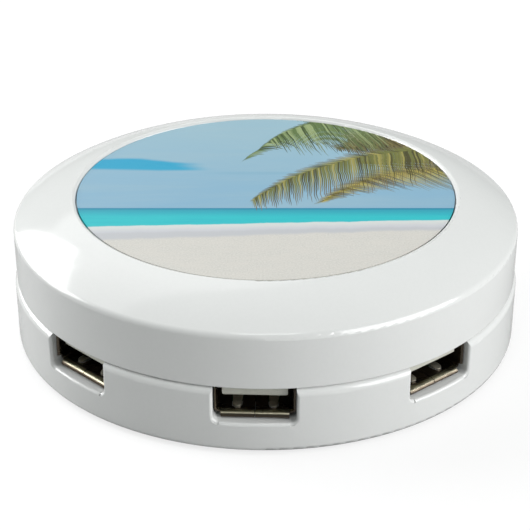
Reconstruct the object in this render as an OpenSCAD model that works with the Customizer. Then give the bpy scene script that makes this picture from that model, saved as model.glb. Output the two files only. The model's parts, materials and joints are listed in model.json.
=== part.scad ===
// Round desktop hub: a two-part casing with a picture disc sunk into its top, three full-size
// sockets side by side at the front and one small inlet at the back.
// Millimetres, +Z up. The origin is the middle of the footprint, on the surface that the feet
// stand on, and the middle socket looks along -Y.

/* [Casing] */
// Outer diameter of the top cover
case_d = 92; // [84:0.5:112]
// How much further out the base casing stands than the cover, on the radius
base_step = 0.4; // [0:0.05:1]
// Height of the base casing, from its underside to the seam
base_h = 11.75; // [11:0.05:14.5]
// Height of the cover's upright wall, from the seam to the outer edge of its ring
cover_wall_h = 10; // [8.5:0.05:13]
// How far the cover's ring climbs from its outer edge to its inner lip
ring_rise = 4.1; // [2.5:0.05:5]
// Radius of the ring's crown, across its width
crown_r = 30; // [10:0.5:60]
// Thickness of the side walls
wall = 2.2; // [1.6:0.1:2.8]
// Thickness of the base's floor
floor_t = 2; // [1.5:0.1:2.6]
// Thickness of the cover under the picture
roof_t = 2; // [1.4:0.1:2.6]
// Rounding of the cover's outer edge
ring_round = 1.2; // [0.5:0.1:2]
// Rounding of the base's edge at the seam
seam_round = 1.4; // [0.5:0.1:1.9]
// Rounding of the base's bottom edge
foot_round = 0.9; // [0.3:0.1:1.5]
// Gap between cover and base at the seam
seam_gap = 0.08; // [0.05:0.01:0.3]
// Thickness of the inner lip that centres the cover on the base
lip_t = 0.95; // [0.7:0.05:1.3]
// How far that lip stands up into the cover
lip_rise = 1.2; // [0.8:0.1:2]

/* [Picture] */
// Diameter of the picture disc
picture_d = 68.8; // [50:0.1:74]
// Thickness of the picture disc
picture_t = 0.8; // [0.4:0.1:1.5]
// Thickness of the adhesive under it
adhesive_t = 0.2; // [0.1:0.05:0.5]
// Gap all round the disc
picture_gap = 0.15; // [0.1:0.05:0.5]
// How far the disc's face lies below the lip around it
picture_sink = 0.3; // [0.1:0.05:1]
// Rounding of that lip
rim_round = 0.75; // [0.3:0.05:1.5]

/* [Sockets] */
// Angle between neighbouring sockets, in degrees
socket_pitch = 42; // [40:0.5:50]
// How far a socket's mouth lies inside the cover's outer wall
mouth_inset = 1.3; // [1.2:0.1:2.6]
// Outside width of a socket's shell
shell_w = 13.1; // [12.9:0.1:13.5]
// Outside height of a socket's shell
shell_h = 5.7; // [5.5:0.1:6]
// Length of a socket's shell behind its flared lips
shell_len = 13.2; // [12:0.1:15]
// Thickness of the sheet metal
sheet = 0.3; // [0.2:0.05:0.4]
// Corner radius of the shells, outside
shell_round = 0.65; // [0.5:0.05:1]
// Width of the flared lips above and below the mouth
flare_w = 11.2; // [9:0.1:11.8]
// Height of the flared lips beside the mouth
side_flare_h = 4; // [2:0.1:4.4]
// Inner bend radius of the lips above and below
flare_r = 0.5; // [0.3:0.05:0.6]
// Inner bend radius of the lips beside the mouth
side_flare_r = 0.15; // [0.1:0.01:0.2]
// Width of the butt joint along the shell's floor
butt_gap = 0.12; // [0.05:0.01:0.3]
// Width of the tongue that carries the contacts
tongue_w = 10.7; // [10:0.1:11.5]
// Thickness of the tongue
tongue_t = 1.84; // [1.6:0.02:2]
// Height of the tongue's underside above the shell's inside floor
tongue_lift = 2.7; // [2.2:0.05:2.8]
// How far the tongue ends behind the mouth
tongue_inset = 1; // [0.5:0.1:2]
// Width of one contact
contact_w = 1; // [0.8:0.1:1.2]
// Thickness of one contact
contact_t = 0.25; // [0.15:0.05:0.35]
// Width of one leaf spring
leaf_w = 1.8; // [1.4:0.1:2.2]
// Length of one leaf spring, from its root to its tip
leaf_len = 8; // [6:0.1:8.2]
// How far a leaf spring stands up into the mouth
leaf_rise = 0.45; // [0.3:0.05:0.6]

/* [Pockets] */
// Gap between a socket's shell and each side of its pocket
pocket_side = 0.25; // [0.2:0.05:0.7]
// Gap between a socket's lower lip and the sill under it
sill_gap = 0.25; // [0.1:0.05:1]
// Gap between the inlet and each side of its pocket, for the plug's grip
inlet_side = 1.95; // [1.2:0.05:2.6]
// Gap between the inlet and the sill under it, for the plug's grip
inlet_sill_gap = 1.6; // [1:0.05:2.5]
// Radius of the pockets' bottom corners
pocket_corner = 1; // [0.7:0.1:1.5]
// Rounding of the pockets' outer edges
pocket_round = 0.5; // [0.2:0.05:0.7]
// How far the partition behind a pocket lies behind the lips' bend
partition_set = 2.2; // [1:0.1:3]
// Thickness of the partition behind each pocket
partition_t = 1.2; // [0.8:0.1:1.4]

/* [Board] */
// Thickness of the circuit board
board_t = 1.6; // [1:0.1:2]
// Height of the posts that the board stands on
post_h = 2.05; // [1:0.05:2.5]
// Gap between the board and a socket's shell
board_gap = 0.5; // [0.45:0.05:0.7]
// Gap between the board's edge and the partitions
board_edge_gap = 0.3; // [0.2:0.05:1]
// Distance of the board screws from the middle
post_ring = 21; // [17:0.5:22]

/* [Fixings] */
// Distance of the case screws inside the cover's outer wall
screw_inset = 10.5; // [9.5:0.5:12]
// Outside radius of the screw bosses
boss_r = 3; // [2.6:0.1:3.4]
// Radius of the case screws
screw_r = 1; // [0.8:0.05:1.2]
// Radius of the case screws' heads
screw_head_r = 1.9; // [1.6:0.1:2]
// Distance of the feet inside the cover's outer wall
foot_inset = 9; // [7:0.5:12]
// Radius of a foot
foot_r = 4; // [3:0.1:5]
// Thickness of a foot
foot_t = 1.4; // [1.2:0.1:1.8]
// How far a foot stands below the base
foot_proud = 0.6; // [0.4:0.1:1]

/* [Hidden] */
$fn = 96;

fit = 0.1;                 // general clearance between pieces that fit together
tight = 0.05;              // clearance between pieces that are pressed or moulded together
slip = 0.15;               // clearance beside a leaf spring
thread_gap = 0.02;         // clearance round a screw in the hole that it bites into
hole_gap = 0.15;           // clearance round a screw or a foot in its hole
head_gap = 0.3;            // clearance round a screw's head, and round a boss in the board
over = 1;                  // how far a cutter runs past what it cuts
join = 0.01;               // overlap where two solids of one piece meet
skin_t = 0.8;              // cover wall that stays in front of a socket's upper lip
frame_t = 2;               // thickness of the walls beside a pocket
eaves = [4, 2.6];          // width and drop of the slope inside the roof's outer edge
foot_edge = 0.3;           // rounding of a foot's lower edge
post_r = 2.5;              // radius of a post under the board
post_floor = 0.7;          // what is left under a post's screw hole
relief_floor = 0.4;        // how far the room under the leaf springs stays above the floor

// Levels, counted from the surface that the feet stand on
base_z = foot_proud;
floor_z = base_z + floor_t;
board_z = floor_z + post_h;
board_top = board_z + board_t;
seam_z = base_z + base_h;
cover_z = seam_z + seam_gap;
ring_z = seam_z + cover_wall_h;
rim_z = ring_z + ring_rise;
picture_top = rim_z - picture_sink;
picture_z = picture_top - picture_t;
recess_z = picture_z - adhesive_t;
roof_z = recess_z - roof_t;
shell_z = board_top + board_gap;
shell_top = shell_z + shell_h;
sheet_z = shell_z + sheet;
sill_z = shell_z - flare_r - sill_gap;
relief_z = floor_z + relief_floor;
inlet_z = board_top + tight;
inlet_sill_z = inlet_z - inlet_sill_gap;

// Radii
case_r = case_d / 2;
base_r = case_r + base_step;
inner_r = case_r - wall;
picture_r = picture_d / 2;
recess_r = picture_r + picture_gap;
rim_r = recess_r + rim_round;

// Distances from the hub's middle along a socket's own direction; outwards is -Y
mouth_y = -(case_r - mouth_inset);
bend_y = mouth_y + flare_r + sheet;
side_bend_y = mouth_y + side_flare_r + sheet;
shell_back = bend_y + shell_len;
partition_y = bend_y + partition_set;
partition_back = partition_y + partition_t;
board_r = -partition_back - board_edge_gap;
block_len = 3.6;           // length of the insulator's block inside the shell
block_y = shell_back - block_len;
block_step = 0.6;          // how far that block stands out behind the shell
block_back = shell_back + block_step;
tail_y = block_back + fit + contact_t / 2;
tail_w = 0.6;              // width of a contact's tail
tail_out = 0.7;            // how far tails and legs stick out under the board
tail_z = board_z - tail_out;
LEG_Y = [shell_back - 4, shell_back - 2];
leg_gap = 0.2;             // clearance along a leg in its hole
hole_half = 0.35;          // half the width of a leg's hole
tail_hole_r = 0.46;
contact_depth = 0.1;       // how deep a contact is set into the tongue
contact_set = 0.9;         // how far a contact ends behind the tongue's end

SOCKET_TURNS = [-socket_pitch, 0, socket_pitch];
CONTACT_X = [-3.5, -1, 1, 3.5];
LEAF_X = [-3, 3];
SCREW_TURNS = [-socket_pitch / 2, socket_pitch / 2, -110, 110];
FOOT_TURNS = [-66, 66, -150, 150];
POST_TURNS = [-90, 90, 180];
INLET_TURN = 180;

// Leaf spring: rises from its root to a crest, and dips again to its tip
leaf_back = 0.55;          // distance from the leaf's root to the insulator's block
leaf_root = block_y - leaf_back;
leaf_t = 0.25;
leaf_mid_z = shell_z + sheet / 2;
crest_z = sheet_z + leaf_rise - leaf_t;
tip_len = 1.3;             // length of the part beyond the crest
tip_y = leaf_root - leaf_len;
crest_y = tip_y + tip_len;
tip_dip = 0.2;
crest_len = 0.6;           // half the length of the rounded crest
crest_dip = 0.05;          // how far the crest's ends lie below it
tip_r = 0.7;               // half the width of the round tip
taper_len = 3;             // how far behind the crest the leaf starts to narrow

// Screws
board_screw_r = 0.85;
board_head_r = 1.7;
board_head_h = 1.2;
head_h = 1.4;
head_rise = 3.1;           // height of the case screws' heads above the base's underside
head_z = base_z + head_rise;
screw_len = 9.5;
boss_rise = 4.2;           // height of the bosses' joint above the board
boss_top = board_top + boss_rise;
screw_ring = case_r - screw_inset;
foot_ring = case_r - foot_inset;

// Pocket widths follow from what they surround
inlet_w = 7.7;
pocket_w = shell_w + 2 * pocket_side;
inlet_pocket_w = inlet_w + 2 * inlet_side;

// Inlet: a small socket with sloping lower corners
inlet_h = 3.95;
inlet_len = 9.2;
inlet_proud = 0.2;         // how much further out than the sockets the inlet's mouth lies
inlet_mouth = -(case_r - mouth_inset - inlet_proud);
inlet_back = inlet_mouth + inlet_len;
inlet_pitch = 0.8;
inlet_tab = 1.4;           // length of one tab
INLET_TABS = [partition_back + 1.1, inlet_back - 1.6];
inlet_corner = [0.75, 0.9];
inlet_slope = 1.9;         // height where the sloping corners end
inlet_pin_w = 0.26;
inlet_pin_t = 0.25;
inlet_tongue = [1.75, 2.95];
inlet_pin_z = inlet_z + inlet_tongue[0] + tight - inlet_pin_t;

// A rectangle with round corners, centred, with true arcs
module round_rect(w, h, r) {
    square([w - 2 * r, h], center = true);
    square([w, h - 2 * r], center = true);
    for (x = [-1, 1], y = [-1, 1])
        translate([x * (w / 2 - r), y * (h / 2 - r)]) circle(r = r);
}

// Extrudes a section drawn in (y, z) over a width centred on x
module along_x(w) {
    translate([-w / 2, 0, 0]) rotate([90, 0, 90]) linear_extrude(w) children();
}

// Extrudes a section drawn in (x, z) from y0 towards +Y
module along_y(y0, len) {
    translate([0, y0 + len, 0]) rotate([90, 0, 0]) linear_extrude(len) children();
}

module block(x0, x1, y0, y1, z0, z1) {
    translate([x0, y0, z0]) cube([x1 - x0, y1 - y0, z1 - z0]);
}

// Copies its children at a turn and a distance from the middle
module at(turn, ring) {
    rotate([0, 0, turn]) translate([0, -ring, 0]) children();
}

// ---- Casing ----------------------------------------------------------------

// The ring's crown is one arc that runs smoothly into two round edges: the outer one
// starts from the upright wall, and the inner one ends in the recess
edge_drop = 0.75;          // share of its rounding that the outer edge's centre lies below the ring
outer_edge = [case_r - ring_round, ring_z - ring_round * edge_drop];
inner_edge = [rim_r, rim_z - rim_round];
edge_span = inner_edge - outer_edge;
to_outer = crown_r - ring_round;
to_inner = crown_r - rim_round;
along_span = (pow(to_outer, 2) - pow(to_inner, 2) + edge_span * edge_span) / (2 * norm(edge_span));
below_span = sqrt(pow(to_outer, 2) - pow(along_span, 2));
span_dir = edge_span / norm(edge_span);
crown_centre = outer_edge + span_dir * along_span + [span_dir[1], -span_dir[0]] * -below_span;
crown_start = outer_edge + (outer_edge - crown_centre) * ring_round / to_outer;
crown_end = inner_edge + (inner_edge - crown_centre) * rim_round / to_inner;

module cover_section() {
    edge = 0.25;
    beyond = [0.2, 1];
    polygon([
        [0, roof_z], [inner_r - eaves[0], roof_z], [inner_r, roof_z - eaves[1]], [inner_r, cover_z],
        [case_r - edge, cover_z], [case_r - edge, cover_z + edge], [case_r, cover_z + edge],
        [case_r, outer_edge[1]], outer_edge, crown_start, crown_end, inner_edge,
        [recess_r, inner_edge[1]], [recess_r, recess_z], [0, recess_z]
    ]);
    translate([case_r - edge, cover_z + edge]) circle(r = edge);
    translate(outer_edge) circle(r = ring_round);
    translate(inner_edge) circle(r = rim_round);
    intersection() {
        translate(crown_centre) circle(r = crown_r);
        polygon([crown_start, crown_end, crown_end + beyond, crown_start + beyond]);
    }
}

// Roof of a pocket, with a rib that closes the slot in its partition above the shell
module pocket_roof(w, shell_width, z0) {
    rib = shell_width / 2;
    side = (w + frame_t) / 2;
    block(-rib, rib, partition_y - tight, partition_back, z0 + fit, roof_z + tight);
    block(-side, side, -inner_r - wall / 4, partition_y, cover_z + tight, ring_z);
}

module top_cover() color("white") difference() {
    union() {
        rotate_extrude() cover_section();
        for (turn = SCREW_TURNS) at(turn, screw_ring)
            translate([0, 0, boss_top + seam_gap]) cylinder(r = boss_r, h = roof_z - boss_top);
        for (turn = SOCKET_TURNS) at(turn, 0) pocket_roof(pocket_w, shell_w, shell_top);
        at(INLET_TURN, 0) pocket_roof(inlet_pocket_w, inlet_w, inlet_z + inlet_h);
    }
    for (turn = SCREW_TURNS) at(turn, screw_ring)
        translate([0, 0, boss_top - over]) cylinder(r = screw_r + thread_gap, h = screw_len);
    for (turn = SOCKET_TURNS) at(turn, 0) lip_clearance();
}

// Room for a socket's upper lip, behind the skin of the wall
module lip_clearance() intersection() {
    cylinder(r = case_r - skin_t, h = rim_z);
    block(-pocket_w / 2, pocket_w / 2, -base_r, partition_y, sill_z, shell_top + flare_r + fit);
}

// Opening of a pocket: upright sides, round bottom corners and rounded outer edges
module pocket(w, sill) {
    side = w / 2;
    top = seam_z + over;
    low = sill + pocket_corner;
    out = -base_r - over;
    e = pocket_round;
    block(-side, side, out, partition_y, low, top);
    block(-side + pocket_corner, side - pocket_corner, out, partition_y, sill, low + over);
    for (s = [-1, 1]) translate([s * (side - pocket_corner), partition_y, low])
        rotate([90, 0, 0]) cylinder(r = pocket_corner, h = partition_y - out);
    for (s = [0, 1]) mirror([s, 0, 0]) {
        cx = side + e;
        cy = -sqrt(pow(base_r - e, 2) - pow(cx, 2));
        tangent = [cx, cy] * base_r / (base_r - e);
        translate([0, 0, low]) linear_extrude(top - low) difference() {
            polygon([[side - join, cy], [side - join, out], [tangent[0] + e, out], tangent, [cx, cy]]);
            translate([cx, cy]) circle(r = e);
        }
        intersection() {
            translate([side - pocket_corner, 0, low]) rotate([90, 0, 0]) rotate_extrude() difference() {
                translate([pocket_corner - join, -cy]) square([e + join, base_r + over + cy]);
                translate([pocket_corner + e, -cy]) circle(r = e);
            }
            block(side - pocket_corner, side + 2 * e, out - over, 0, low - pocket_corner - 2 * e, low);
        }
    }
    intersection() {
        rotate_extrude() difference() {
            translate([base_r - e, sill - e]) square([e + over, e + join]);
            translate([base_r - e, sill - e]) circle(r = e);
        }
        block(-side + pocket_corner, side - pocket_corner, out - over, 0, sill - 2 * e, sill + over);
    }
}

// Room under the leaf springs, behind a socket's lips, for their tips to bend into
module leaf_relief() {
    side = LEAF_X[1] + leaf_w;
    block(-side, side, bend_y + slip, partition_y, relief_z, sill_z + join);
}

// Solid frame around a pocket: it makes the pocket's sides and the partition behind it
module pocket_frame(w) {
    block(-w / 2 - frame_t, w / 2 + frame_t, -inner_r - over, partition_back, floor_z - over, seam_z);
}

module base_section() {
    low = [base_r - foot_round, base_z + foot_round];
    high = [base_r - seam_round, seam_z - seam_round];
    polygon([
        [0, floor_z], [0, base_z], [low[0], base_z], low, [base_r, low[1]],
        [base_r, high[1]], high, [high[0], seam_z], [inner_r, seam_z], [inner_r, floor_z]
    ]);
    translate(low) circle(r = foot_round);
    intersection() {
        translate(high) circle(r = seam_round);
        translate(high) square(2 * seam_round);
    }
}

// Inner lip that centres the cover
module centring_lip() {
    lip_r = inner_r - fit;
    in_wall = 0.5;             // how far the lip reaches into the base's wall
    root = 3.2;                // how far below the seam it starts
    neck = 2.2;
    rotate_extrude() polygon([
        [inner_r + in_wall, seam_z - root], [inner_r + in_wall, seam_z - fit], [lip_r, seam_z - fit],
        [lip_r, seam_z + lip_rise], [lip_r - lip_t, seam_z + lip_rise],
        [lip_r - lip_t, seam_z - neck], [inner_r, seam_z - root]
    ]);
}

// Where the centring lip stops, beside a pocket
module lip_break(w) {
    block(-w / 2 - frame_t - slip, w / 2 + frame_t + slip, -case_r, 0, 0, seam_z + 2 * lip_rise);
}

// Slot in a partition that a shell drops into from above
module passage(w, z0) {
    block(-w / 2 - fit, w / 2 + fit, partition_y - over, partition_back + over,
          z0 - fit, seam_z + over);
}

module base_shell() color("white") difference() {
    union() {
        rotate_extrude() base_section();
        difference() {
            centring_lip();
            for (turn = SOCKET_TURNS) at(turn, 0)
                lip_break(pocket_w);
            at(INLET_TURN, 0) lip_break(inlet_pocket_w);
        }
        intersection() {
            union() {
                for (turn = SOCKET_TURNS) at(turn, 0) pocket_frame(pocket_w);
                at(INLET_TURN, 0) pocket_frame(inlet_pocket_w);
            }
            cylinder(r = inner_r + wall / 4, h = seam_z);
        }
        for (turn = SCREW_TURNS) at(turn, screw_ring)
            translate([0, 0, base_z]) cylinder(r = boss_r, h = boss_top - base_z);
        for (turn = POST_TURNS) at(turn, post_ring)
            translate([0, 0, base_z]) cylinder(r = post_r, h = board_z - base_z);
    }
    for (turn = SOCKET_TURNS) at(turn, 0) {
        pocket(pocket_w, sill_z);
        leaf_relief();
        passage(shell_w, shell_z);
    }
    at(INLET_TURN, 0) {
        pocket(inlet_pocket_w, inlet_sill_z);
        passage(inlet_w, inlet_z);
    }
    for (turn = SCREW_TURNS) at(turn, screw_ring) {
        cylinder(r = screw_r + hole_gap, h = boss_top + over);
        cylinder(r = screw_head_r + head_gap, h = head_z + head_h);
    }
    for (turn = POST_TURNS) at(turn, post_ring)
        translate([0, 0, base_z + post_floor]) cylinder(r = board_screw_r + thread_gap, h = board_z);
    for (turn = FOOT_TURNS) at(turn, foot_ring)
        cylinder(r = foot_r + hole_gap, h = foot_t);
}

module rubber_feet() color("dimgray")
    for (turn = FOOT_TURNS) at(turn, foot_ring)
        rotate_extrude() {
            square([foot_r - foot_edge, foot_t]);
            translate([0, foot_edge]) square([foot_r, foot_t - foot_edge]);
            translate([foot_r - foot_edge, foot_edge]) circle(r = foot_edge);
        }

// A pan head with its shank, standing on its shank's axis with the shank upwards
module screw(r, head_r, head, len) {
    half = 0.6 * head_r;
    slot = 0.2;
    difference() {
        union() {
            cylinder(r = head_r, h = head);
            translate([0, 0, head - join]) cylinder(r = r, h = len);
        }
        for (a = [0, 90]) rotate([0, 0, a])
            block(-half, half, -slot, slot, -over, head / 2);
    }
}

module case_screws() color("silver")
    for (turn = SCREW_TURNS) at(turn, screw_ring)
        translate([0, 0, head_z]) screw(screw_r, screw_head_r, head_h - 0.02, screw_len);

module board_screws() color("silver")
    for (turn = POST_TURNS) at(turn, post_ring)
        translate([0, 0, board_top + tight + board_head_h]) mirror([0, 0, 1])
            screw(board_screw_r, board_head_r, board_head_h, board_t + 0.8 * post_h);

// ---- Picture ---------------------------------------------------------------

module picture_disc() color("skyblue")
    translate([0, 0, picture_z]) cylinder(r = picture_r, h = picture_t);

module adhesive_disc() color("lightyellow")
    translate([0, 0, recess_z]) cylinder(r = picture_r - 1, h = adhesive_t);

// ---- Sockets ---------------------------------------------------------------

// Section of a sheet bent round a centre, from one angle to another
module bent_sheet(centre, r, a0, a1) {
    reach = 4 * (r + sheet);
    middle = (a0 + a1) / 2;
    translate(centre) intersection() {
        difference() {
            circle(r = r + sheet);
            circle(r = r);
        }
        polygon([[0, 0], for (a = [a0, middle, a1]) reach * [cos(a), sin(a)]]);
    }
}

module socket_shell() color("silver") difference() {
    half = shell_w / 2;
    leg_end = tail_z - shell_z - (shell_h - side_flare_h) / 2;
    union() {
        along_y(bend_y, shell_len) translate([0, shell_z + shell_h / 2]) difference() {
            round_rect(shell_w, shell_h, shell_round);
            round_rect(shell_w - 2 * sheet, shell_h - 2 * sheet, shell_round - sheet);
        }
        along_x(flare_w) bent_sheet([bend_y, shell_z - flare_r], flare_r, 90, 175);
        along_x(flare_w) bent_sheet([bend_y, shell_top + flare_r], flare_r, -90, -175);
        for (s = [0, 1]) mirror([s, 0, 0]) translate([0, 0, shell_z + (shell_h - side_flare_h) / 2]) {
            linear_extrude(side_flare_h)
                bent_sheet([half + side_flare_r, side_bend_y], side_flare_r, 180, 258);
            block(half - sheet, half, side_bend_y, bend_y + fit, 0, side_flare_h);
            block(half - sheet, half, LEG_Y[0], LEG_Y[1], leg_end, side_flare_h / 4);
        }
    }
    block(-butt_gap / 2, butt_gap / 2, mouth_y - over, shell_back + over,
          shell_z - flare_r - over, sheet_z + fit);
    for (x = LEAF_X) translate([x, 0, shell_z - fit]) linear_extrude(sheet + 2 * fit)
        leaf_outline(slip, leaf_root + tight);
}

module socket_insulator() color("white") difference() {
    inside_w = shell_w - 2 * sheet - 2 * tight;
    under = sheet_z + tongue_lift;
    front = mouth_y + tongue_inset;
    nose = 0.35;
    tongue_round = 0.6;
    union() {
        along_y(block_y, block_len + join) translate([0, shell_z + shell_h / 2])
            round_rect(inside_w, shell_h - 2 * sheet - 2 * tight, shell_round - sheet);
        block(-inside_w / 2, inside_w / 2, shell_back, block_back, board_top, shell_top - sheet - tight);
        intersection() {
            along_x(tongue_w) polygon([
                [block_y + join, under], [front + nose, under], [front, under + nose],
                [front, under + tongue_t - nose], [front + nose, under + tongue_t],
                [block_y + join, under + tongue_t]
            ]);
            along_y(front - over, block_y - front + 2 * over) translate([0, under + tongue_t / 2])
                round_rect(tongue_w, tongue_t, tongue_round);
        }
    }
    for (x = CONTACT_X)
        block(x - contact_w / 2 - tight, x + contact_w / 2 + tight,
              front + contact_set - slip, block_back + over,
              under - contact_t - tight, under + contact_depth + tight);
}

// Strips under the tongue; each one passes through the block and turns down into the board
module socket_contacts() color("gold") {
    top = sheet_z + tongue_lift + contact_depth;
    front = mouth_y + tongue_inset + contact_set;
    back = tail_y + contact_t / 2;
    for (x = CONTACT_X) translate([x, 0, 0]) {
        along_x(contact_w) polygon([
            [front, top - contact_t], [back, top - contact_t], [back, top], [front, top]
        ]);
        block(-tail_w / 2, tail_w / 2, back - contact_t, back, tail_z, top - contact_t + join);
    }
}

// Outline of one leaf spring from above, made wider by a margin for the slot around it
module leaf_outline(margin, root_y) {
    half = leaf_w / 2 + margin;
    tip = tip_r + margin;
    polygon([
        [-half, root_y], [-half, crest_y + taper_len], [-tip, tip_y + tip_r],
        [tip, tip_y + tip_r], [half, crest_y + taper_len], [half, root_y]
    ]);
    translate([0, tip_y + tip_r]) circle(r = tip);
}

module leaf_springs() color("silver") {
    low = [[leaf_root, leaf_mid_z - leaf_t / 2], [crest_y + crest_len, crest_z - crest_dip],
           [crest_y, crest_z], [crest_y - crest_len, crest_z - crest_dip], [tip_y, crest_z - tip_dip]];
    up = [for (i = [len(low) - 1:-1:0]) low[i] + [0, leaf_t]];
    for (x = LEAF_X) translate([x, 0, 0]) intersection() {
        along_x(leaf_w) polygon(concat(low, up));
        translate([0, 0, board_top]) linear_extrude(shell_h) leaf_outline(0, leaf_root);
    }
}

// ---- Inlet -----------------------------------------------------------------

// Outline in (x, z), drawn in by an inset
function inlet_outline(t) = let (h = inlet_w / 2 - t, c = inlet_corner, top = inlet_slope - 0.6 * t) [
    [-h, inlet_h - t], [-h, top], [-h + c[0], c[1]], [-h + c[0], t],
    [h - c[0], t], [h - c[0], c[1]], [h, top], [h, inlet_h - t]
];

module inlet_shell() color("silver") {
    along_y(inlet_mouth, inlet_len) translate([0, inlet_z]) difference() {
        polygon(inlet_outline(0));
        polygon(inlet_outline(sheet));
    }
    for (s = [-1, 1], y = INLET_TABS)
        block(s * (inlet_w / 2 - sheet / 2) - sheet / 2, s * (inlet_w / 2 - sheet / 2) + sheet / 2,
              y, y + inlet_tab, tail_z, inlet_z + inlet_h / 2);
}

module inlet_insulator() color("dimgray") difference() {
    back = 2.6;
    half = 1.85;
    tongue_set = 1.2;
    hole = inlet_pin_w / 2 + tight;
    union() {
        along_y(inlet_back - back, back) translate([0, inlet_z]) polygon(inlet_outline(sheet + tight));
        block(-half, half, inlet_mouth + tongue_set, inlet_back - back + join,
              inlet_z + inlet_tongue[0], inlet_z + inlet_tongue[1]);
    }
    for (i = [-2:2])
        block(i * inlet_pitch - hole, i * inlet_pitch + hole, inlet_mouth + tongue_set + 0.4,
              inlet_back + over, inlet_pin_z - slip, inlet_pin_z + inlet_pin_t + tight);
}

module inlet_contacts() color("gold") {
    half = inlet_pin_w / 2;
    t = inlet_pin_t;
    bend = inlet_back + 0.6;
    foot = 0.9;
    for (i = [-2:2]) translate([i * inlet_pitch, 0, 0]) {
        block(-half, half, inlet_mouth + 1.7, bend, inlet_pin_z, inlet_pin_z + t);
        block(-half, half, bend - t, bend, board_top, inlet_pin_z + join);
        block(-half, half, bend - t, bend + foot, board_top, board_top + t);
    }
}

// ---- Circuit board and what stands on it -----------------------------------

// Offsets behind a socket's tails, and places around the middle
cap_r = 3.15;
cap_h = 5.2;
CAP_BASE = [6.6, 6.6, 0.6];
cap_y = tail_y + 5.9;
FUSE = [3.2, 4.6, 0.8];
fuse_at = [6.3, tail_y + 3.4];
chip_at = [0, 2];
CHIP = [10.2, 5.3, 1.75];
chip_gap = 0.1;            // gap under the chip
chip_mark = [0.9, 0.45, 0.1];
PIN_COUNT = 14;
pin_pitch = 0.65;
pin_w = 0.28;
pin_t = 0.15;
pin_gap = 0.02;
crystal_at = [-13.5, 6];
CRYSTAL_RIM = [11.2, 4.7, 0.5];
CRYSTAL_CAN = [10.2, 3.8, 3];
regulator_at = [13, 7];
REGULATOR = [6.5, 3.5, 1.6];
REGULATOR_TAB = [3, 1.8];
REGULATOR_PIN = [0.7, 1.8];
regulator_pitch = 2.3;
regulator_foot = 0.35;     // thickness of its tab and pins
CERAMIC = [1.2, 2, 0.8];
RESISTOR = [0.8, 1.6, 0.45];
row_pitch = 3.5;           // spacing in the rows of small parts
ceramic_y = chip_at[1] + 7.2;
resistor_y = chip_at[1] + 10.6;

// A small block that stands on the board, centred
module chip_block(size) {
    translate([-size[0] / 2, -size[1] / 2, 0]) cube(size);
}

module circuit_board() color("darkgreen") difference() {
    translate([0, 0, board_z]) cylinder(r = board_r, h = board_t);
    for (turn = SCREW_TURNS) at(turn, screw_ring) cylinder(r = boss_r + head_gap, h = board_top + over);
    for (turn = POST_TURNS) at(turn, post_ring)
        cylinder(r = board_screw_r + fit, h = board_top + over);
    for (turn = SOCKET_TURNS) at(turn, 0) {
        for (x = CONTACT_X) translate([x, tail_y, 0]) cylinder(r = tail_hole_r, h = board_top + over);
        for (s = [-1, 1]) translate([s * (shell_w - sheet) / 2, 0, 0])
            block(-hole_half, hole_half, LEG_Y[0] - leg_gap, LEG_Y[1] + leg_gap, 0, board_top + over);
    }
    at(INLET_TURN, 0) for (s = [-1, 1], y = INLET_TABS)
        translate([s * (inlet_w - sheet) / 2, 0, 0])
            block(-hole_half, hole_half, y - leg_gap, y + inlet_tab + leg_gap, 0, board_top + over);
}

module hub_chip() color("black")
    translate([chip_at[0], chip_at[1], board_top + chip_gap]) difference() {
        chip_block(CHIP);
        translate([-CHIP[0] / 2 + chip_mark[0], -CHIP[1] / 2 + chip_mark[0], CHIP[2] - chip_mark[2]])
            cylinder(r = chip_mark[1], h = over);
    }

module chip_pins() color("silver") {
    y0 = CHIP[1] / 2 + pin_gap;
    high = CHIP[2] / 2;
    for (s = [0, 180], i = [0:PIN_COUNT - 1])
        translate([chip_at[0] + (i - (PIN_COUNT - 1) / 2) * pin_pitch, chip_at[1], board_top])
            rotate([0, 0, s]) along_x(pin_w) polygon([
                [y0, high], [y0 + 0.5, high], [y0 + 0.7, pin_t], [y0 + 1.3, pin_t],
                [y0 + 1.3, 0], [y0 + 0.6, 0], [y0 + 0.4, high - pin_t], [y0, high - pin_t]
            ]);
}

module crystal() color("silver")
    translate([crystal_at[0], crystal_at[1], board_top]) rotate([0, 0, 90]) {
        linear_extrude(CRYSTAL_RIM[2]) round_rect(CRYSTAL_RIM[0], CRYSTAL_RIM[1], 2.3);
        translate([0, 0, CRYSTAL_RIM[2] - join]) linear_extrude(CRYSTAL_CAN[2])
            round_rect(CRYSTAL_CAN[0], CRYSTAL_CAN[1], 1.85);
    }

module regulator() color("black")
    translate([regulator_at[0], regulator_at[1], board_top]) {
        front = REGULATOR[1] / 2 - tight;
        translate([0, 0, chip_gap]) chip_block(REGULATOR);
        translate([0, front + REGULATOR_TAB[1] / 2, 0])
            chip_block([REGULATOR_TAB[0], REGULATOR_TAB[1], regulator_foot]);
        for (i = [-1:1]) translate([i * regulator_pitch, -front - REGULATOR_PIN[1] / 2, 0])
            chip_block([REGULATOR_PIN[0], REGULATOR_PIN[1], regulator_foot]);
    }

module port_fuses() color("seagreen")
    for (turn = SOCKET_TURNS) at(turn, 0)
        translate([fuse_at[0], fuse_at[1], board_top]) chip_block(FUSE);

module electrolytic_capacitors() color("gray")
    for (turn = SOCKET_TURNS) at(turn, 0) translate([0, cap_y, board_top]) {
        chip_block(CAP_BASE);
        translate([0, 0, CAP_BASE[2] - join]) cylinder(r = cap_r, h = cap_h);
    }

module ceramic_capacitors() color("tan")
    for (i = [-2.5:2.5]) translate([i * row_pitch, ceramic_y, board_top]) chip_block(CERAMIC);

module chip_resistors() color("black")
    for (i = [-2:2]) translate([i * row_pitch, resistor_y, board_top]) chip_block(RESISTOR);

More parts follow.
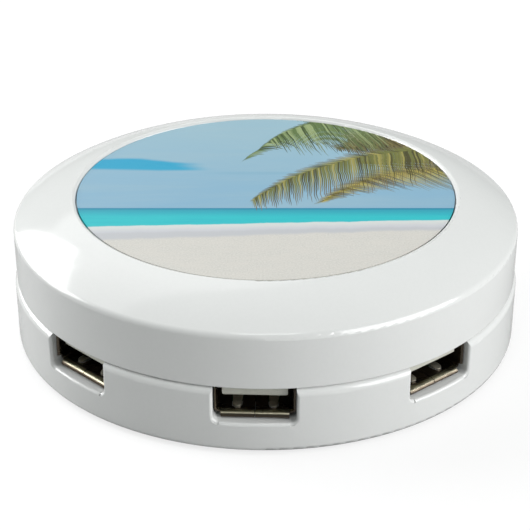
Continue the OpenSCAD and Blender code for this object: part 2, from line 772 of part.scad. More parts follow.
// ---- Nodes -----------------------------------------------------------------

top_cover();
picture_disc();
adhesive_disc();
base_shell();
circuit_board();
at(-socket_pitch, 0) socket_shell();  // socket_shell_left
at(0, 0) socket_shell();  // socket_shell_front
at(socket_pitch, 0) socket_shell();  // socket_shell_right
at(-socket_pitch, 0) socket_insulator();  // socket_insulator_left
at(0, 0) socket_insulator();  // socket_insulator_front
at(socket_pitch, 0) socket_insulator();  // socket_insulator_right
at(-socket_pitch, 0) socket_contacts();  // socket_contacts_left
at(0, 0) socket_contacts();  // socket_contacts_front
at(socket_pitch, 0) socket_contacts();  // socket_contacts_right
at(-socket_pitch, 0) leaf_springs();  // leaf_springs_left
at(0, 0) leaf_springs();  // leaf_springs_front
at(socket_pitch, 0) leaf_springs();  // leaf_springs_right
at(INLET_TURN, 0) inlet_shell();
at(INLET_TURN, 0) inlet_insulator();
at(INLET_TURN, 0) inlet_contacts();
hub_chip();
chip_pins();
crystal();
regulator();
port_fuses();
electrolytic_capacitors();
ceramic_capacitors();
chip_resistors();
board_screws();
case_screws();
rubber_feet();
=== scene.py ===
"""Looks for a round desktop hub: white glossy casing, a beach picture sunk into the top, three
sockets at the front and a small inlet at the back. Lengths are metres, apart from the picture,
which is drawn in millimetres."""

import json
import math

import bmesh
import bpy
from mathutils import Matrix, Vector


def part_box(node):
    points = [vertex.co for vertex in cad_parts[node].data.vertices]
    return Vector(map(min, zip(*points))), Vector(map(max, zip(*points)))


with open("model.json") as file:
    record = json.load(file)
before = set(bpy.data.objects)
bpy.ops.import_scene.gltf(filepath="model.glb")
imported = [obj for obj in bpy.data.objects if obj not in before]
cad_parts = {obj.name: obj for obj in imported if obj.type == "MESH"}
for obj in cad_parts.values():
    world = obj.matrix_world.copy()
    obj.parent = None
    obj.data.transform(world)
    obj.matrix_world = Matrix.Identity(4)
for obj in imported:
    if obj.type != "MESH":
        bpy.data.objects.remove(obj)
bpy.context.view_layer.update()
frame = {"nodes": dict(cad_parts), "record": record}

MM = 0.001

# How far the sockets' lips stand from the hub's middle, and the band of them that gets a painted
# highlight
MOUTH_RING = -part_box("socket_shell_front")[0][1]
PAINTED_HIGHLIGHT_FROM = MOUTH_RING - 1.3 * MM
PAINTED_HIGHLIGHT_TO = MOUTH_RING - 0.9 * MM

# The view: its turn around the hub, its distance, sideways shift and height, its tilt and its lens
VIEW_TURN = math.radians(2.3)
VIEW_AWAY = 0.24992
VIEW_ASIDE = -0.00013
VIEW_HEIGHT = 0.1422
VIEW_TILT = math.radians(62.27)
LENS_MM = 102.2

# The softboxes: turn and height in degrees, distance, width, depth and power
SOFTBOXES = {
    "right_box": (64, 24, 1.0, 0.9, 0.65, 11.5),
    "left_box": (-117, 24, 1.0, 0.9, 0.65, 13.6),
    "back_box": (-145, 46, 1.0, 0.93, 0.65, 2.1),
    "top_box": (0, 74, 1.2, 0.4, 0.4, 1.9),
}
LIGHT_AIM = (0, 0, 0.015)
ROOM_COLOUR = (0.93, 1, 0.975, 1)
ROOM_STRENGTH = 0.265

# The floor: its radius, its colours as seen and as lit, and how much of it glows
FLOOR_RADIUS = 4.0
FLOOR_SEEN = (0.93, 0.93, 0.93, 1)
FLOOR_LIT = (0.4, 0.4, 0.4, 1)
FLOOR_GLOW = 0.75

# The picture in mm from the disc's middle: levels in the sky, the horizon, and the shore line
# with the foam and the wet sand in front of it
SKY_TOP = 34.0
PATCH_TOP = 14.1
PATCH_BOTTOM = 9.2
STREAK_LEVEL = 7.9
HORIZON = -7.3
SHORE = -13.4
SHORE_SLOPE = 0.043
FOAM_WIDTH = 2.4
WET_WIDTH = 2.1
WET_SLOPE = 0.025

# What the gloss over a print adds to its colour, and the strength of the light on it
INK_GLOSS = 0.02
INK_LIGHT = 1.25


def tint(red, green, blue):
    """A colour given in display values from 0 to 255, as the linear colour that shaders take."""
    def linear(value):
        value /= 255
        return value / 12.92 if value <= 0.04045 else ((value + 0.055) / 1.055) ** 2.4
    return (linear(red), linear(green), linear(blue), 1)


def ink(red, green, blue):
    """A printed colour: a display value, less the gloss over it and the strength of the light."""
    return (*(max(value - INK_GLOSS, 0) / INK_LIGHT for value in tint(red, green, blue)[:3]), 1)


# ---- Node building -----------------------------------------------------------

class Wire:
    """The output of a node. Sums and products of wires add the Math nodes that work them out."""

    def __init__(self, tree, socket):
        self.tree, self.socket = tree, socket

    def math(self, operation, *others, clamp=False):
        node = self.tree.nodes.new("ShaderNodeMath")
        node.operation, node.use_clamp = operation, clamp
        for place, value in enumerate((self, *others)):
            join(self.tree, value, node.inputs[place])
        return Wire(self.tree, node.outputs[0])

    def __add__(self, other):
        return self.math("ADD", other)

    __radd__ = __add__

    def __sub__(self, other):
        return self.math("SUBTRACT", other)

    def __rsub__(self, other):
        return self.math("MULTIPLY_ADD", -1, other)

    def __mul__(self, other):
        return self.math("MULTIPLY", other)

    __rmul__ = __mul__

    def __truediv__(self, other):
        return self.math("DIVIDE", other)

    def __pow__(self, other):
        return self.math("POWER", other)

    def __abs__(self):
        return self.math("ABSOLUTE")

    def least(self, other):
        return self.math("MINIMUM", other)

    def most(self, other):
        return self.math("MAXIMUM", other)

    def ramp(self, start, end, low=0, high=1):
        """Rises smoothly from low at start to high at end, and stays there."""
        node = self.tree.nodes.new("ShaderNodeMapRange")
        node.interpolation_type = "SMOOTHSTEP"
        for name, value in (("Value", self), ("From Min", start), ("From Max", end),
                            ("To Min", low), ("To Max", high)):
            join(self.tree, value, node.inputs[name])
        return Wire(self.tree, node.outputs[0])


def join(tree, value, socket):
    """Puts a wire or a plain value on a socket."""
    if isinstance(value, Wire):
        tree.links.new(value.socket, socket)
    elif isinstance(value, bpy.types.NodeSocket):
        tree.links.new(value, socket)
    else:
        socket.default_value = value


def put(tree, kind, outlet=0, inlets=None, **settings):
    """Adds one node with its settings and inlets, and gives back the wire of one outlet."""
    node = tree.nodes.new(kind)
    for name, value in settings.items():
        setattr(node, name, value)
    for name, value in (inlets or {}).items():
        join(tree, value, node.inputs[name])
    return Wire(tree, node.outputs[outlet])


def mix(tree, share, under, over):
    """Lays one colour over another by a share from 0 to 1."""
    node = tree.nodes.new("ShaderNodeMix")
    node.data_type = "RGBA"
    join(tree, share, node.inputs[0])
    join(tree, under, node.inputs[6])
    join(tree, over, node.inputs[7])
    return Wire(tree, node.outputs[2])


def split(vector):
    """The x, y and z of a vector wire."""
    node = vector.tree.nodes.new("ShaderNodeSeparateXYZ")
    join(vector.tree, vector, node.inputs[0])
    return [Wire(vector.tree, out) for out in node.outputs]


def combine(tree, x, y, z):
    return put(tree, "ShaderNodeCombineXYZ", inlets={"X": x, "Y": y, "Z": z})


def noise(place, scale, detail=2.0, rough=0.5, distortion=0.0, outlet="Fac"):
    return put(place.tree, "ShaderNodeTexNoise", outlet, {
        "Vector": place, "Scale": scale, "Detail": detail, "Roughness": rough,
        "Distortion": distortion})


def mapped(place, scale, turn=0.0):
    """A place stretched along its axes, after a turn about the upright one."""
    return put(place.tree, "ShaderNodeMapping", 0, {
        "Vector": place, "Scale": scale, "Rotation": (0, 0, turn)})


def object_place(tree):
    return put(tree, "ShaderNodeTexCoord", "Object")


class Effect:
    """A node group with named inlets and outlets, built once and placed in many materials."""

    def __init__(self, name, inlets, outlets):
        self.tree = bpy.data.node_groups.new(name, "ShaderNodeTree")
        for label, kind, value in inlets:
            socket = self.tree.interface.new_socket(
                label, in_out="INPUT", socket_type="NodeSocket" + kind)
            if value is not None:
                socket.default_value = value
        for label, kind in outlets:
            self.tree.interface.new_socket(
                label, in_out="OUTPUT", socket_type="NodeSocket" + kind)
        self.start = self.tree.nodes.new("NodeGroupInput")
        self.end = self.tree.nodes.new("NodeGroupOutput")

    def inlet(self, label):
        return Wire(self.tree, self.start.outputs[label])

    def give(self, **values):
        for label, value in values.items():
            join(self.tree, value, self.end.inputs[label.replace("_", " ")])

    def place(self, tree, **values):
        """Places the group in a tree and gives back its outlets by name."""
        node = tree.nodes.new("ShaderNodeGroup")
        node.node_tree = self.tree
        for label, value in values.items():
            join(tree, value, node.inputs[label.replace("_", " ")])
        return {out.name: Wire(tree, out) for out in node.outputs}


def moulded_grain():
    """Fine surface of a moulded or painted piece: faint cloudy colour, specks and a fine grain."""
    effect = Effect("Moulded grain", [
        ("Place", "Vector", None), ("Colour", "Color", (0.8, 0.8, 0.8, 1)),
        ("Second colour", "Color", (0.7, 0.7, 0.7, 1)), ("Cloud size", "Float", 60.0),
        ("Grain size", "Float", 2500.0), ("Roughness", "Float", 0.4),
        ("Roughness change", "Float", 0.1)],
        [("Colour", "Color"), ("Roughness", "Float"), ("Height", "Float")])
    place = effect.inlet("Place")
    cloud = noise(place, effect.inlet("Cloud size"), 4, 0.6)
    grain = noise(place, effect.inlet("Grain size"), 3, 0.65)
    share = (cloud.ramp(0.3, 0.7) * 0.6) + (grain.ramp(0.35, 0.7) * 0.4)
    effect.give(
        Colour=mix(effect.tree, share, effect.inlet("Colour"), effect.inlet("Second colour")),
        Roughness=effect.inlet("Roughness")
        + (grain.ramp(0.3, 0.7, -0.5, 0.5) + cloud.ramp(0.3, 0.7, -0.5, 0.5))
        * effect.inlet("Roughness change"),
        Height=grain)
    return effect


def drawn_metal():
    """Rolled or drawn metal: streaks along one direction, faint stains and small pits."""
    effect = Effect("Drawn metal", [
        ("Place", "Vector", None), ("Colour", "Color", (0.7, 0.7, 0.7, 1)),
        ("Stain colour", "Color", (0.4, 0.35, 0.3, 1)), ("Streak size", "Float", 900.0),
        ("Stain size", "Float", 220.0), ("Stain share", "Float", 0.3),
        ("Roughness", "Float", 0.3)],
        [("Colour", "Color"), ("Roughness", "Float"), ("Height", "Float")])
    place = effect.inlet("Place")
    streak = noise(mapped(place, (0.12, 1, 1)), effect.inlet("Streak size"), 3, 0.6)
    stain = noise(place, effect.inlet("Stain size"), 5, 0.6, 0.4).ramp(0.45, 0.75)
    dulled = stain * effect.inlet("Stain share")
    streaked = mix(effect.tree, streak.ramp(0.3, 0.7, 0, 0.25), effect.inlet("Colour"),
                   effect.inlet("Stain colour"))
    effect.give(
        Colour=mix(effect.tree, dulled, streaked, effect.inlet("Stain colour")),
        Roughness=effect.inlet("Roughness") + streak.ramp(0.3, 0.7, -0.06, 0.06) + dulled * 0.25,
        Height=streak)
    return effect


def handling():
    """Faint smears and fine hairline scuffs left by hands, as a rise in roughness."""
    effect = Effect("Handling", [
        ("Place", "Vector", None), ("Smear size", "Float", 40.0), ("Amount", "Float", 0.05)],
        [("Roughness", "Float")])
    place = effect.inlet("Place")
    smear = noise(mapped(place, (1, 2.2, 1.4), 0.5), effect.inlet("Smear size"), 3, 0.55, 1.2)
    fine = noise(mapped(place, (1, 14, 3), 1.1), 260, 2, 0.6)
    cross = noise(mapped(place, (1, 17, 3), -0.7), 210, 2, 0.6)
    scuffs = fine.ramp(0.66, 0.72).most(cross.ramp(0.68, 0.74))
    effect.give(Roughness=(smear.ramp(0.45, 0.75) + scuffs * 0.6) * effect.inlet("Amount"))
    return effect


def palm_frond():
    """One palm frond on a picture: a bent midrib with leaflets on both sides.
    Tone and Shade change from leaflet to leaflet, and Out grows from midrib to leaflet tip."""
    effect = Effect("Palm frond", [
        ("Place", "Vector", None), ("Root", "Vector", None), ("Angle", "Float", 0.0),
        ("Length", "Float", 30.0), ("Bend", "Float", 0.0), ("Upper width", "Float", 4.0),
        ("Lower width", "Float", 9.0), ("Pitch", "Float", 0.7), ("Upper slant", "Float", 1.2),
        ("Lower slant", "Float", 0.5), ("Seed", "Float", 0.0)],
        [("Mask", "Float"), ("Tone", "Float"), ("Shade", "Float"), ("Out", "Float")])
    tree = effect.tree
    blade_width = 0.56
    layer_shifts = (0.0, 0.47)
    layer_seed = 3.3
    side_seed = 7
    from_root = put(tree, "ShaderNodeVectorMath", 0, {
        0: effect.inlet("Place"), 1: effect.inlet("Root")}, operation="SUBTRACT")
    turned = put(tree, "ShaderNodeVectorRotate", 0, {
        "Vector": from_root, "Angle": effect.inlet("Angle") * -1}, rotation_type="Z_AXIS")
    run, side, _ = split(turned)
    length = effect.inlet("Length")
    side = side - run * run * run * effect.inlet("Bend")
    lower = side.math("GREATER_THAN", 0)
    out = abs(side)

    def by_side(upper_label, lower_label):
        upper, below = effect.inlet(upper_label), effect.inlet(lower_label)
        return upper + (below - upper) * lower

    width = by_side("Upper width", "Lower width")
    slant = by_side("Upper slant", "Lower slant")
    start = run - out * slant
    along = start / length
    inside = along.ramp(-0.02, 0.0) * along.ramp(1.0, 1.02, 1, 0)
    count = start / effect.inlet("Pitch")
    mask = None
    for layer, shift in enumerate(layer_shifts):
        leaflet = (count + shift).math("FLOOR")
        across = abs((count + shift).math("FRACT") - 0.5) * 2
        chance = put(tree, "ShaderNodeTexWhiteNoise", "Color", {
            "Vector": combine(tree, leaflet, lower * side_seed + (layer * layer_seed),
                              effect.inlet("Seed"))}, noise_dimensions="3D")
        first, second, third = split(chance)
        taper = (1.0 - along.most(0) ** 3) * along.ramp(-0.05, 0.18, 0.3, 0.75) + 0.25
        reach = width * taper * (first * 0.45 + 0.62)
        gone = (out / reach).least(1)
        blade = ((1.0 - gone) ** 0.5) * blade_width
        share = across.ramp(blade - 0.12, blade + 0.04, 1, 0) * gone.ramp(0.97, 1.0, 1, 0)
        if mask is None:
            mask, tone, shade, length_share = share, second, across * third, gone
        else:
            over = 1.0 - mask
            mask = mask + share * over
            tone = tone + (second - tone) * over * share
            shade = shade + (across * third - shade) * over * share
            length_share = length_share + (gone - length_share) * over * share
    midrib = out.ramp(0.10, 0.28, 1, 0) * (run / length).ramp(1.0, 1.01, 1, 0)
    effect.give(Mask=(mask * inside).most(midrib * inside), Tone=tone, Shade=shade,
                Out=length_share)
    return effect


GRAIN = moulded_grain()
METAL = drawn_metal()
HANDLING = handling()
FROND = palm_frond()
LOOKS = {}


def finish_material(colour, roughness, metallic, height, bump, **sockets):
    """Fills a material: a Principled shader fed by the given wires, over a bump of a strength
    and a distance."""
    tree = colour.tree
    shader = tree.nodes.new("ShaderNodeBsdfPrincipled")
    join(tree, colour, shader.inputs["Base Color"])
    join(tree, roughness, shader.inputs["Roughness"])
    shader.inputs["Metallic"].default_value = metallic
    for label, value in sockets.items():
        join(tree, value, shader.inputs[label.replace("_", " ")])
    raised = put(tree, "ShaderNodeBump", 0, {
        "Height": height, "Strength": bump[0], "Distance": bump[1]})
    join(tree, raised, shader.inputs["Normal"])
    outlet = tree.nodes.new("ShaderNodeOutputMaterial")
    tree.links.new(shader.outputs[0], outlet.inputs[0])


def fresh(slot):
    """An empty node tree for the material that the frame's pieces of this slot get."""
    material = bpy.data.materials.new(slot + "_look")
    material.use_nodes = True
    material.node_tree.nodes.clear()
    LOOKS[slot] = material
    return material.node_tree


# ---- The picture ---------------------------------------------------------------

# Fronds: root and direction on the picture in mm and degrees, then the group's own values, and
# the kind of colouring. The first ones lie under the later ones.
FRONDS = [
    dict(root=(26, 38), angle=184, length=22, bend=0.0, up=2.0, low=12, pitch=0.7,
         up_slant=1.0, low_slant=-0.5, seed=3, kind="green"),
    dict(root=(36, 33), angle=194, length=22, bend=0.0002, up=7, low=13, pitch=0.7,
         up_slant=0.5, low_slant=-0.35, seed=5, kind="husk"),
    dict(root=(39, 27), angle=186, length=24, bend=0.0002, up=8, low=11, pitch=0.7,
         up_slant=0.4, low_slant=0.3, seed=17, kind="dark"),
    dict(root=(39, 20), angle=174, length=25, bend=0.0002, up=10, low=9, pitch=0.7,
         up_slant=0.7, low_slant=-0.3, seed=23, kind="dark"),
    dict(root=(21, 33.5), angle=172, length=22, bend=0.0021, up=1.8, low=21, pitch=0.72,
         up_slant=1.3, low_slant=-0.5, seed=41, kind="green"),
    dict(root=(15, 34.5), angle=200, length=17, bend=0.0012, up=1.2, low=16, pitch=0.8,
         up_slant=1.2, low_slant=0.1, seed=9, kind="green"),
    dict(root=(40, 10), angle=181, length=30, bend=0.00052, up=5.0, low=11, pitch=0.72,
         up_slant=1.3, low_slant=-0.75, seed=31, kind="olive"),
    dict(root=(39, 15), angle=184, length=21, bend=0.0001, up=5, low=7, pitch=0.7,
         up_slant=0.9, low_slant=-0.2, seed=29, kind="dark"),
    dict(root=(36, 20.5), angle=193, length=42.5, bend=0.000195, up=3.2, low=15.5, pitch=0.8,
         up_slant=1.2, low_slant=0.24, seed=47, kind="ripe"),
]

# Colours of a leaflet: most of them, the light ones, the dark ones, and their dry ends
LEAF_COLOURS = {
    "green": (ink(104, 126, 78), ink(160, 176, 126), ink(66, 78, 48), ink(100, 110, 78)),
    "olive": (ink(136, 128, 66), ink(180, 166, 84), ink(88, 78, 42), ink(120, 104, 74)),
    "ripe": (ink(118, 122, 70), ink(168, 160, 92), ink(76, 72, 48), ink(118, 96, 88)),
    "husk": (ink(128, 112, 94), ink(182, 170, 154), ink(70, 58, 48), ink(110, 94, 82)),
    "dark": (ink(102, 94, 60), ink(140, 128, 80), ink(62, 54, 38), ink(94, 82, 62)),
}


def sky(tree, spot):
    """A pale sky with wisps, a bright blue patch on the left and a faint streak beside it."""
    across, up, _ = split(spot)
    wisps = noise(mapped(spot, (0.02, 0.13, 1)), 1.0, 5, 0.6, 0.6)
    colour = mix(tree, up.ramp(HORIZON, SKY_TOP), ink(143, 184, 209), ink(160, 194, 209))
    colour = mix(tree, wisps.ramp(0.4, 0.75, 0, 0.45), colour, ink(170, 196, 206))
    streaks = noise(mapped(spot, (0.03, 0.6, 1)), 1.0, 3, 0.5)
    wave = (noise(mapped(spot, (0.09, 0.02, 1)), 1.0, 2) - 0.5) * 2.4
    top = PATCH_TOP - (across + 24).most(0) * 0.20 + wave
    bottom = PATCH_BOTTOM + abs(across + 20) * 0.05 + (streaks - 0.5) * 2.0
    patch = up.ramp(bottom - 0.9, bottom + 0.7) * up.ramp(top - 0.5, top + 0.9, 1, 0)
    patch = patch * (across + (streaks - 0.5) * 6).ramp(-17.0, -10.0, 1, 0)
    faint = abs(up - STREAK_LEVEL - (streaks - 0.5) * 0.8).ramp(0.1, 1.0, 1, 0)
    faint = faint * across.ramp(-14, -6)
    colour = mix(tree, patch, colour, ink(62, 170, 207))
    return mix(tree, faint * 0.35, colour, ink(126, 176, 200))


def sea(tree, spot):
    """Turquoise water with a light swell, darker along the horizon."""
    _, up, _ = split(spot)
    nearer = HORIZON - up
    swell = noise(mapped(spot, (0.05, 0.9, 1)), 1.0, 3, 0.6)
    water = mix(tree, nearer.ramp(0.6, 4.0), ink(62, 168, 188), ink(62, 198, 205))
    water = mix(tree, swell.ramp(0.45, 0.8, 0, 0.5), water, ink(52, 176, 200))
    return mix(tree, nearer.ramp(0.1, 1.15, 0.9, 0), water, ink(58, 140, 172))


def sand(tree, spot):
    """Pale dry sand with fine grain and soft hollows."""
    fine = noise(spot, 3.1, 3, 0.7)
    soft = noise(mapped(spot, (0.22, 0.5, 1)), 1.0, 4, 0.6)
    grains = mix(tree, fine.ramp(0.3, 0.72), ink(206, 204, 198), ink(226, 224, 218))
    return mix(tree, soft.ramp(0.35, 0.7, 0, 0.5), grains, ink(222, 218, 211))


def sky_and_beach(tree, spot):
    """The picture's background: sky, sea, foam, wet sand and dry sand, from the top down."""
    across, up, _ = split(spot)
    ripple = noise(mapped(spot, (0.16, 0.02, 1)), 1.0, 4, 0.65) - 0.5
    shore = across * SHORE_SLOPE + SHORE + ripple * 0.9
    foam_end = shore - FOAM_WIDTH + ripple * 0.6
    wet_end = foam_end - WET_WIDTH + across * WET_SLOPE
    colour = mix(tree, up.ramp(HORIZON - 0.08, HORIZON + 0.08, 1, 0), sky(tree, spot),
                 sea(tree, spot))
    colour = mix(tree, up.ramp(shore - 0.25, shore + 0.15, 1, 0), colour, ink(220, 224, 222))
    colour = mix(tree, up.ramp(foam_end - 0.5, shore - 0.2, 1, 0), colour, ink(206, 208, 214))
    colour = mix(tree, up.ramp(foam_end - 0.8, foam_end + 0.2, 1, 0), colour, ink(199, 201, 205))
    return mix(tree, up.ramp(wet_end - 0.7, wet_end + 0.5, 1, 0), colour, sand(tree, spot))


def picture_look():
    """A satin print of the beach with the fronds over it."""
    tree = fresh("picture_print")
    place = object_place(tree)
    spot = mapped(place, (1 / MM, 1 / MM, 0), -VIEW_TURN)
    colour = sky_and_beach(tree, spot)
    wander = put(tree, "ShaderNodeVectorMath", 0, {
        0: noise(spot, 0.16, 2, outlet="Color"), 1: (0.5, 0.5, 0.5)}, operation="SUBTRACT")
    shaken = put(tree, "ShaderNodeVectorMath", 0, {0: wander, "Scale": 1.2}, operation="SCALE")
    leafy = put(tree, "ShaderNodeVectorMath", 0, {0: spot, 1: shaken}, operation="ADD")
    for frond in FRONDS:
        wires = FROND.place(
            tree, Place=leafy, Root=(*frond["root"], 0), Angle=math.radians(frond["angle"]),
            Length=frond["length"], Bend=frond["bend"], Upper_width=frond["up"],
            Lower_width=frond["low"], Pitch=frond["pitch"], Upper_slant=frond["up_slant"],
            Lower_slant=frond["low_slant"], Seed=frond["seed"])
        main, light, dark, dry = LEAF_COLOURS[frond["kind"]]
        leaf = mix(tree, wires["Tone"].ramp(0.45, 0.95), main, light)
        leaf = mix(tree, wires["Out"].ramp(0.35, 0.95, 0, 0.75), leaf, dry)
        leaf = mix(tree, wires["Tone"].ramp(0.35, 0.1, 0, 0.85), leaf, dark)
        leaf = mix(tree, wires["Shade"].ramp(0.2, 0.9, 0, 0.6), leaf, dark)
        colour = mix(tree, wires["Mask"], colour, leaf)
    grain = noise(spot, 9.0, 2, 0.6)
    colour = mix(tree, grain.ramp(0.3, 0.7, 0, 0.05), colour, tint(128, 128, 128))
    marks = HANDLING.place(tree, Place=place, Smear_size=45.0, Amount=0.10)
    finish_material(colour, marks["Roughness"] + 0.34, 0, grain, (0.05, 0.00001),
                    Specular_IOR_Level=0.25)


# ---- Materials -------------------------------------------------------------------

def plastic(slot, main, second, roughness, change=0.08, cloud=60.0, grain=2500.0,
            smears=0.0, bump=(0.1, 0.00002)):
    """Moulded plastic, rubber, ceramic or lacquer in one slot."""
    tree = fresh(slot)
    place = object_place(tree)
    wires = GRAIN.place(tree, Place=place, Colour=main, Second_colour=second, Cloud_size=cloud,
                        Grain_size=grain, Roughness=roughness, Roughness_change=change)
    rough = wires["Roughness"]
    if smears:
        rough = rough + HANDLING.place(tree, Place=place, Amount=smears)["Roughness"]
    finish_material(wires["Colour"], rough, 0, wires["Height"], bump)


def metal(slot, main, stain, roughness, share=0.3, streak=900.0, size=220.0,
          bump=(0.15, 0.00001)):
    """Bare or plated metal in one slot."""
    tree = fresh(slot)
    wires = METAL.place(tree, Place=object_place(tree), Colour=main, Stain_colour=stain,
                        Streak_size=streak, Stain_size=size, Stain_share=share,
                        Roughness=roughness)
    finish_material(wires["Colour"], wires["Roughness"], 1, wires["Height"], bump)


def socket_look():
    """Painted highlight, a pale colour on the upward-facing bend of a socket's lips, and dull brown
    metal on the rest of the shell.
    """
    tree = fresh("socket_metal")
    place = object_place(tree)
    wires = METAL.place(tree, Place=place, Colour=tint(92, 84, 74), Stain_colour=tint(66, 56, 48),
                        Streak_size=900.0, Stain_size=220.0, Stain_share=0.3, Roughness=0.3)
    across, along, _ = split(place)
    ring = (across * across + along * along) ** 0.5
    upward = split(put(tree, "ShaderNodeNewGeometry", "Normal"))[2]
    # painted highlight: where the lips' bend faces up, a pale colour stands in for the light it
    # would catch
    bright = ring.ramp(PAINTED_HIGHLIGHT_FROM, PAINTED_HIGHLIGHT_TO) * upward.ramp(0.6, 0.95)
    colour = mix(tree, bright, wires["Colour"], tint(208, 204, 178))
    finish_material(colour, wires["Roughness"], 1, wires["Height"], (0.15, 0.00001))


def board_look():
    """Green solder mask with copper tracks and pads showing through, and a fine weave."""
    tree = fresh("board_green")
    place = object_place(tree)
    spot = mapped(place, (1 / MM, 1 / MM, 1 / MM))
    lanes = noise(mapped(spot, (0.05, 0.6, 0)), 1.0, 0).math("MULTIPLY", 40).math("FRACT")
    tracks = lanes.ramp(0.40, 0.46) * lanes.ramp(0.60, 0.66, 1, 0)
    pads = noise(mapped(spot, (0.35, 0.35, 0)), 1.0, 0).ramp(0.58, 0.60)
    copper = tracks.most(pads * 0.7)
    weave = noise(mapped(spot, (2.5, 2.5, 2.5)), 1.0, 2, 0.6)
    mask = mix(tree, copper, tint(14, 74, 46), tint(30, 110, 62))
    mask = mix(tree, weave.ramp(0.3, 0.7, 0, 0.25), mask, tint(10, 60, 40))
    flat = put(tree, "ShaderNodeNewGeometry", "Normal")
    upright = abs(split(flat)[2])
    edge = mix(tree, weave.ramp(0.35, 0.65), tint(150, 140, 84), tint(176, 166, 104))
    colour = mix(tree, upright.ramp(0.4, 0.6), edge, mask)
    finish_material(colour, weave.ramp(0.3, 0.7, 0.28, 0.42), 0,
                    copper * 0.6 + weave * 0.4, (0.3, 0.00004))


def set_looks():
    """Makes every material and puts it on the pieces that have its slot."""
    plastic("casing_white", tint(212, 213, 212), tint(209, 210, 209), 0.10, 0.02, 25.0, 1800.0,
            0.05, (0.03, 0.00001))
    picture_look()
    plastic("adhesive_film", tint(214, 208, 180), tint(196, 188, 160), 0.45, 0.1, 120.0)
    socket_look()
    plastic("tongue_white", tint(196, 196, 186), tint(184, 184, 172), 0.38, 0.1, 300.0, 5000.0)
    metal("contact_gold", tint(226, 182, 96), tint(160, 112, 60), 0.26, 0.3)
    metal("spring_metal", tint(226, 224, 212), tint(170, 160, 140), 0.42, 0.3)
    metal("inlet_metal", tint(196, 194, 190), tint(118, 108, 94), 0.26, 0.3)
    plastic("inlet_black", tint(34, 34, 36), tint(26, 26, 28), 0.42, 0.12, 300.0)
    board_look()
    plastic("chip_black", tint(38, 38, 40), tint(30, 30, 31), 0.55, 0.12, 400.0, 6000.0,
            bump=(0.3, 0.00002))
    metal("tinned_pins", tint(206, 206, 204), tint(140, 136, 128), 0.34, 0.4)
    metal("crystal_can", tint(214, 212, 206), tint(150, 144, 130), 0.28, 0.3, 1400.0)
    plastic("fuse_green", tint(40, 120, 74), tint(30, 96, 60), 0.4, 0.1, 500.0)
    metal("capacitor_can", tint(202, 204, 206), tint(132, 134, 136), 0.3, 0.3)
    plastic("ceramic_tan", tint(186, 150, 108), tint(160, 122, 84), 0.45, 0.1, 700.0)
    plastic("resistor_black", tint(28, 28, 30), tint(44, 44, 46), 0.35, 0.1, 900.0)
    metal("screw_steel", tint(188, 188, 190), tint(110, 106, 100), 0.3, 0.35, 1600.0)
    plastic("foot_rubber", tint(60, 60, 62), tint(48, 48, 50), 0.8, 0.1, 200.0, 4200.0,
            bump=(0.5, 0.00005))
    slots = {m["slot"] for m in frame["record"]["materials"]}
    for node in frame["nodes"].values():
        for place in node.material_slots:
            name = place.material.name.split(".")[0]
            if name in slots:
                place.material = LOOKS[name]


# ---- Studio ------------------------------------------------------------------------

def seen_and_lit(tree, seen, lit, outlet):
    """Joins two shaders: the view sees the first one, and light bounces off the second one."""
    both = tree.nodes.new("ShaderNodeMixShader")
    join(tree, put(tree, "ShaderNodeLightPath", "Is Camera Ray"), both.inputs[0])
    tree.links.new(lit.outputs[0], both.inputs[1])
    tree.links.new(seen.outputs[0], both.inputs[2])
    tree.links.new(both.outputs[0], outlet.inputs[0])


def floor():
    """A pale floor that shows only a faint shadow and bounces a softer light."""
    shape = bmesh.new()
    bmesh.ops.create_circle(shape, cap_ends=True, radius=FLOOR_RADIUS, segments=96)
    mesh = bpy.data.meshes.new("studio_floor")
    shape.to_mesh(mesh)
    shape.free()
    obj = bpy.data.objects.new("studio_floor", mesh)
    bpy.context.scene.collection.objects.link(obj)
    material = bpy.data.materials.new("studio_floor")
    material.use_nodes = True
    tree = material.node_tree
    tree.nodes.clear()
    pale = tree.nodes.new("ShaderNodeBsdfDiffuse")
    pale.inputs["Color"].default_value = FLOOR_SEEN
    glow = tree.nodes.new("ShaderNodeEmission")
    seen = tree.nodes.new("ShaderNodeMixShader")
    seen.inputs[0].default_value = FLOOR_GLOW
    tree.links.new(pale.outputs[0], seen.inputs[1])
    tree.links.new(glow.outputs[0], seen.inputs[2])
    lit = tree.nodes.new("ShaderNodeBsdfDiffuse")
    lit.inputs["Color"].default_value = FLOOR_LIT
    seen_and_lit(tree, seen, lit, tree.nodes.new("ShaderNodeOutputMaterial"))
    mesh.materials.append(material)


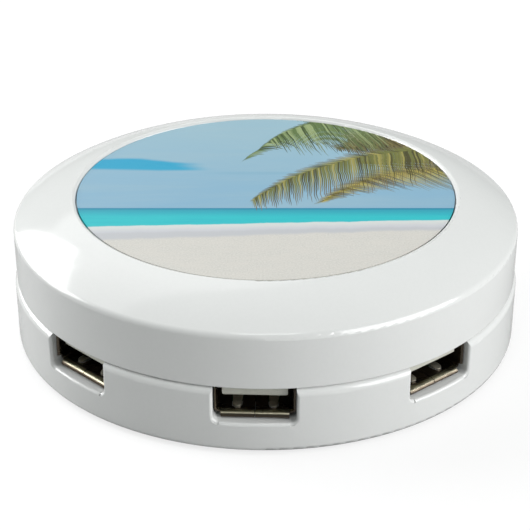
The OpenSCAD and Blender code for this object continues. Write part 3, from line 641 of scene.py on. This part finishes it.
def softbox(name, place, width, depth, power):
    """A rectangular lamp that looks at the hub."""
    lamp = bpy.data.lights.new(name, "AREA")
    lamp.shape, lamp.size, lamp.size_y = "RECTANGLE", width, depth
    lamp.energy = power
    obj = bpy.data.objects.new(name, lamp)
    bpy.context.scene.collection.objects.link(obj)
    obj.location = place
    obj.rotation_euler = (Vector(LIGHT_AIM) - Vector(place)).to_track_quat("-Z", "Y").to_euler()


def studio():
    """A white room with a soft light from all sides, and the softboxes."""
    world = bpy.data.worlds.new("studio")
    world.use_nodes = True
    tree = world.node_tree
    tree.nodes.clear()
    seen = tree.nodes.new("ShaderNodeBackground")
    lit = tree.nodes.new("ShaderNodeBackground")
    seen.inputs["Color"].default_value = (1, 1, 1, 1)
    lit.inputs["Color"].default_value = ROOM_COLOUR
    lit.inputs["Strength"].default_value = ROOM_STRENGTH
    seen_and_lit(tree, seen, lit, tree.nodes.new("ShaderNodeOutputWorld"))
    bpy.context.scene.world = world
    for name, (turn, height, away, width, depth, power) in SOFTBOXES.items():
        softbox(name, around(turn, height, away), width, depth, power)
    scene = bpy.context.scene
    scene.view_settings.view_transform = "Standard"
    scene.view_settings.look = "None"


def around(turn, height, away):
    """A place at a turn from the view's side and a height, in degrees, around the hub."""
    turn = math.radians(turn) + VIEW_TURN
    height = math.radians(height)
    flat = away * math.cos(height)
    return (flat * math.sin(turn), -flat * math.cos(turn), away * math.sin(height))


def camera():
    """The view from the front, a little above the hub."""
    lens = bpy.data.cameras.new("view")
    lens.sensor_width, lens.lens = 36.0, LENS_MM
    obj = bpy.data.objects.new("view", lens)
    bpy.context.scene.collection.objects.link(obj)
    sine, cosine = math.sin(VIEW_TURN), math.cos(VIEW_TURN)
    obj.location = (VIEW_AWAY * sine + VIEW_ASIDE * cosine,
                    -VIEW_AWAY * cosine + VIEW_ASIDE * sine, VIEW_HEIGHT)
    obj.rotation_euler = (VIEW_TILT, 0, VIEW_TURN)
    bpy.context.scene.camera = obj


set_looks()
floor()
studio()
camera()
